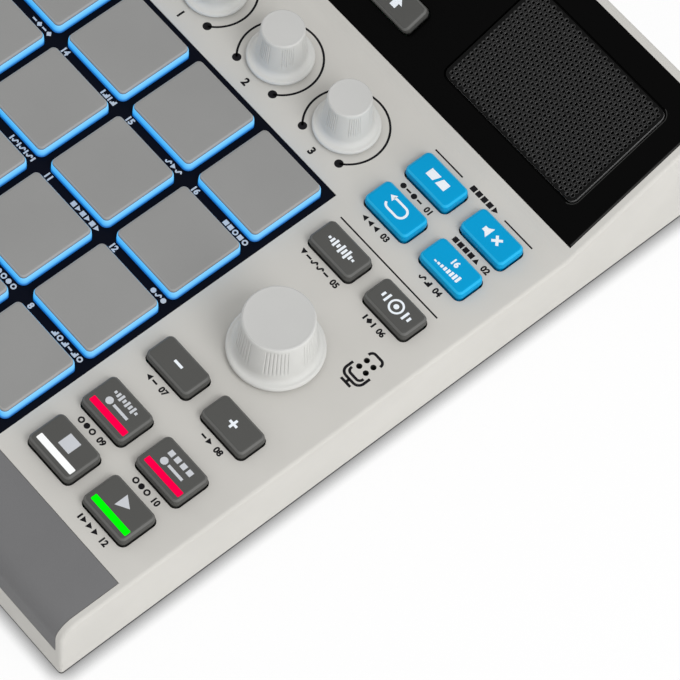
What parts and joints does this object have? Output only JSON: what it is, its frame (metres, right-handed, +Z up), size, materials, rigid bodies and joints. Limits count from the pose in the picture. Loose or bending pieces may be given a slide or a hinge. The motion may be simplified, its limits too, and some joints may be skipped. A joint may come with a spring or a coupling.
{
  "type": "portable sampler",
  "caption": "Portable desktop sampler with a grid of lit pads, push buttons, turning knobs, a slider, and a speaker and screen on a raked black panel.",
  "frame": {"origin": "centre of the casing's footprint, on the surface that the feet stand on", "axes": "+X to the player's right, +Y from the palm rest towards the back panel, +Z up"},
  "size_m": [0.1868, 0.2448, 0.0629],
  "materials": {
    "case_plastic": "fine satin moulded plastic",
    "cover_plastic": "fine texture",
    "foot_rubber": "matt",
    "steel": "plated",
    "palm_plastic": "fine soft-touch texture",
    "bezel_gloss": "gloss",
    "panel_gloss": "gloss",
    "grille_metal": "fine perforation, satin black",
    "speaker_metal": "satin",
    "screen_glass": "clear",
    "lcd": "lit screen",
    "board": "solder mask",
    "battery": "shrink sleeve",
    "black_plastic": "moulded",
    "bright_metal": "bright",
    "grey_button": "satin",
    "blue_button": "satin",
    "knob_plastic": "satin",
    "pad_silicone": "matt silicone with a lit skirt"
  },
  "bodies": {
    "casing": {"top_case": "case_plastic", "rear_case": "case_plastic", "bottom_cover": "cover_plastic", "rubber_feet": "foot_rubber", "cover_screws": "steel", "palm_rest": "palm_plastic", "pad_bezel": "bezel_gloss", "display_panel": "panel_gloss", "speaker_grille": "grille_metal", "speaker_driver": "speaker_metal", "screen_window": "screen_glass", "lcd_module": "lcd", "display_board": "board", "control_board": "board", "main_board": "board", "battery_pack": "battery", "tact_switches": "black_plastic", "knob_pots": "steel", "fader_track": "black_plastic", "mic_capsule": "steel", "line_jacks": "black_plastic", "mini_jacks": "black_plastic", "usb_socket": "bright_metal"},
    "pad_01": {"pad_01": "pad_silicone"},
    "pad_02": {"pad_02": "pad_silicone"},
    "pad_03": {"pad_03": "pad_silicone"},
    "pad_04": {"pad_04": "pad_silicone"},
    "pad_05": {"pad_05": "pad_silicone"},
    "pad_06": {"pad_06": "pad_silicone"},
    "pad_07": {"pad_07": "pad_silicone"},
    "pad_08": {"pad_08": "pad_silicone"},
    "pad_09": {"pad_09": "pad_silicone"},
    "pad_10": {"pad_10": "pad_silicone"},
    "pad_11": {"pad_11": "pad_silicone"},
    "pad_12": {"pad_12": "pad_silicone"},
    "pad_13": {"pad_13": "pad_silicone"},
    "pad_14": {"pad_14": "pad_silicone"},
    "pad_15": {"pad_15": "pad_silicone"},
    "pad_16": {"pad_16": "pad_silicone"},
    "chop_button": {"chop_button": "blue_button"},
    "mute_button": {"mute_button": "blue_button"},
    "loop_button": {"loop_button": "blue_button"},
    "levels_button": {"levels_button": "blue_button"},
    "sample_select_button": {"sample_select_button": "grey_button"},
    "tap_tempo_button": {"tap_tempo_button": "grey_button"},
    "minus_button": {"minus_button": "grey_button"},
    "plus_button": {"plus_button": "grey_button"},
    "sample_record_button": {"sample_record_button": "grey_button"},
    "sequence_record_button": {"sequence_record_button": "grey_button"},
    "stop_button": {"stop_button": "grey_button"},
    "play_button": {"play_button": "grey_button"},
    "shift_button": {"shift_button": "grey_button"},
    "power_button": {"power_button": "black_plastic"},
    "knob_1": {"knob_1": "knob_plastic"},
    "knob_2": {"knob_2": "knob_plastic"},
    "knob_3": {"knob_3": "knob_plastic"},
    "volume_knob": {"volume_knob": "knob_plastic"},
    "data_shaft": {"data_shaft": "steel"},
    "data_knob": {"data_knob": "knob_plastic"},
    "fader_cap": {"fader_cap": "grey_button"}
  },
  "joints": [
    {"name": "pad_01_press", "type": "slide", "parent": "casing", "child": "pad_01", "axis": [0, 0, -1], "range_m": [0, 0.0008], "stiffness_N_per_m": 300, "springref_m": -0.001},
    {"name": "pad_02_press", "type": "slide", "parent": "casing", "child": "pad_02", "axis": [0, 0, -1], "range_m": [0, 0.0008], "stiffness_N_per_m": 300, "springref_m": -0.001},
    {"name": "pad_03_press", "type": "slide", "parent": "casing", "child": "pad_03", "axis": [0, 0, -1], "range_m": [0, 0.0008], "stiffness_N_per_m": 300, "springref_m": -0.001},
    {"name": "pad_04_press", "type": "slide", "parent": "casing", "child": "pad_04", "axis": [0, 0, -1], "range_m": [0, 0.0008], "stiffness_N_per_m": 300, "springref_m": -0.001},
    {"name": "pad_05_press", "type": "slide", "parent": "casing", "child": "pad_05", "axis": [0, 0, -1], "range_m": [0, 0.0008], "stiffness_N_per_m": 300, "springref_m": -0.001},
    {"name": "pad_06_press", "type": "slide", "parent": "casing", "child": "pad_06", "axis": [0, 0, -1], "range_m": [0, 0.0008], "stiffness_N_per_m": 300, "springref_m": -0.001},
    {"name": "pad_07_press", "type": "slide", "parent": "casing", "child": "pad_07", "axis": [0, 0, -1], "range_m": [0, 0.0008], "stiffness_N_per_m": 300, "springref_m": -0.001},
    {"name": "pad_08_press", "type": "slide", "parent": "casing", "child": "pad_08", "axis": [0, 0, -1], "range_m": [0, 0.0008], "stiffness_N_per_m": 300, "springref_m": -0.001},
    {"name": "pad_09_press", "type": "slide", "parent": "casing", "child": "pad_09", "axis": [0, 0, -1], "range_m": [0, 0.0008], "stiffness_N_per_m": 300, "springref_m": -0.001},
    {"name": "pad_10_press", "type": "slide", "parent": "casing", "child": "pad_10", "axis": [0, 0, -1], "range_m": [0, 0.0008], "stiffness_N_per_m": 300, "springref_m": -0.001},
    {"name": "pad_11_press", "type": "slide", "parent": "casing", "child": "pad_11", "axis": [0, 0, -1], "range_m": [0, 0.0008], "stiffness_N_per_m": 300, "springref_m": -0.001},
    {"name": "pad_12_press", "type": "slide", "parent": "casing", "child": "pad_12", "axis": [0, 0, -1], "range_m": [0, 0.0008], "stiffness_N_per_m": 300, "springref_m": -0.001},
    {"name": "pad_13_press", "type": "slide", "parent": "casing", "child": "pad_13", "axis": [0, 0, -1], "range_m": [0, 0.0008], "stiffness_N_per_m": 300, "springref_m": -0.001},
    {"name": "pad_14_press", "type": "slide", "parent": "casing", "child": "pad_14", "axis": [0, 0, -1], "range_m": [0, 0.0008], "stiffness_N_per_m": 300, "springref_m": -0.001},
    {"name": "pad_15_press", "type": "slide", "parent": "casing", "child": "pad_15", "axis": [0, 0, -1], "range_m": [0, 0.0008], "stiffness_N_per_m": 300, "springref_m": -0.001},
    {"name": "pad_16_press", "type": "slide", "parent": "casing", "child": "pad_16", "axis": [0, 0, -1], "range_m": [0, 0.0008], "stiffness_N_per_m": 300, "springref_m": -0.001},
    {"name": "chop_press", "type": "slide", "parent": "casing", "child": "chop_button", "axis": [0, 0, -1], "range_m": [0, 0.001], "stiffness_N_per_m": 200, "springref_m": -0.001},
    {"name": "mute_press", "type": "slide", "parent": "casing", "child": "mute_button", "axis": [0, 0, -1], "range_m": [0, 0.001], "stiffness_N_per_m": 200, "springref_m": -0.001},
    {"name": "loop_press", "type": "slide", "parent": "casing", "child": "loop_button", "axis": [0, 0, -1], "range_m": [0, 0.001], "stiffness_N_per_m": 200, "springref_m": -0.001},
    {"name": "levels_press", "type": "slide", "parent": "casing", "child": "levels_button", "axis": [0, 0, -1], "range_m": [0, 0.001], "stiffness_N_per_m": 200, "springref_m": -0.001},
    {"name": "sample_select_press", "type": "slide", "parent": "casing", "child": "sample_select_button", "axis": [0, 0, -1], "range_m": [0, 0.001], "stiffness_N_per_m": 200, "springref_m": -0.001},
    {"name": "tap_tempo_press", "type": "slide", "parent": "casing", "child": "tap_tempo_button", "axis": [0, 0, -1], "range_m": [0, 0.001], "stiffness_N_per_m": 200, "springref_m": -0.001},
    {"name": "minus_press", "type": "slide", "parent": "casing", "child": "minus_button", "axis": [0, 0, -1], "range_m": [0, 0.001], "stiffness_N_per_m": 200, "springref_m": -0.001},
    {"name": "plus_press", "type": "slide", "parent": "casing", "child": "plus_button", "axis": [0, 0, -1], "range_m": [0, 0.001], "stiffness_N_per_m": 200, "springref_m": -0.001},
    {"name": "sample_record_press", "type": "slide", "parent": "casing", "child": "sample_record_button", "axis": [0, 0, -1], "range_m": [0, 0.001], "stiffness_N_per_m": 200, "springref_m": -0.001},
    {"name": "sequence_record_press", "type": "slide", "parent": "casing", "child": "sequence_record_button", "axis": [0, 0, -1], "range_m": [0, 0.001], "stiffness_N_per_m": 200, "springref_m": -0.001},
    {"name": "stop_press", "type": "slide", "parent": "casing", "child": "stop_button", "axis": [0, 0, -1], "range_m": [0, 0.001], "stiffness_N_per_m": 200, "springref_m": -0.001},
    {"name": "play_press", "type": "slide", "parent": "casing", "child": "play_button", "axis": [0, 0, -1], "range_m": [0, 0.001], "stiffness_N_per_m": 200, "springref_m": -0.001},
    {"name": "shift_press", "type": "slide", "parent": "casing", "child": "shift_button", "axis": [0, 0.3665, -0.9304], "range_m": [0, 0.001], "stiffness_N_per_m": 200, "springref_m": -0.001},
    {"name": "power_press", "type": "slide", "parent": "casing", "child": "power_button", "axis": [0, -1, 0], "range_m": [0, 0.001], "stiffness_N_per_m": 100, "springref_m": -0.001},
    {"name": "knob_1_turn", "type": "hinge", "parent": "casing", "child": "knob_1", "pos_m": [-0.0411, 0.04374, 0.0303], "axis": [0, 0, -1], "range_deg": [-140, 140]},
    {"name": "knob_2_turn", "type": "hinge", "parent": "casing", "child": "knob_2", "pos_m": [-0.0111, 0.04374, 0.0303], "axis": [0, 0, -1], "range_deg": [-140, 140]},
    {"name": "knob_3_turn", "type": "hinge", "parent": "casing", "child": "knob_3", "pos_m": [0.0189, 0.04374, 0.0303], "axis": [0, 0, -1], "range_deg": [-140, 140]},
    {"name": "volume_turn", "type": "hinge", "parent": "casing", "child": "volume_knob", "pos_m": [-0.0005, 0.10208, 0.04538], "axis": [0, 0.3665, -0.9304], "range_deg": [-140, 140]},
    {"name": "data_push", "type": "slide", "parent": "casing", "child": "data_shaft", "axis": [0, 0, -1], "range_m": [0, 0.0005], "stiffness_N_per_m": 400, "springref_m": -0.001},
    {"name": "data_turn", "type": "hinge", "parent": "data_shaft", "child": "data_knob", "pos_m": [0.06225, -0.01979, 0.0303], "axis": [0, 0, -1], "continuous": true},
    {"name": "fader_slide", "type": "slide", "parent": "casing", "child": "fader_cap", "axis": [0, 1, 0], "range_m": [-0.01, 0.01]}
  ]
}
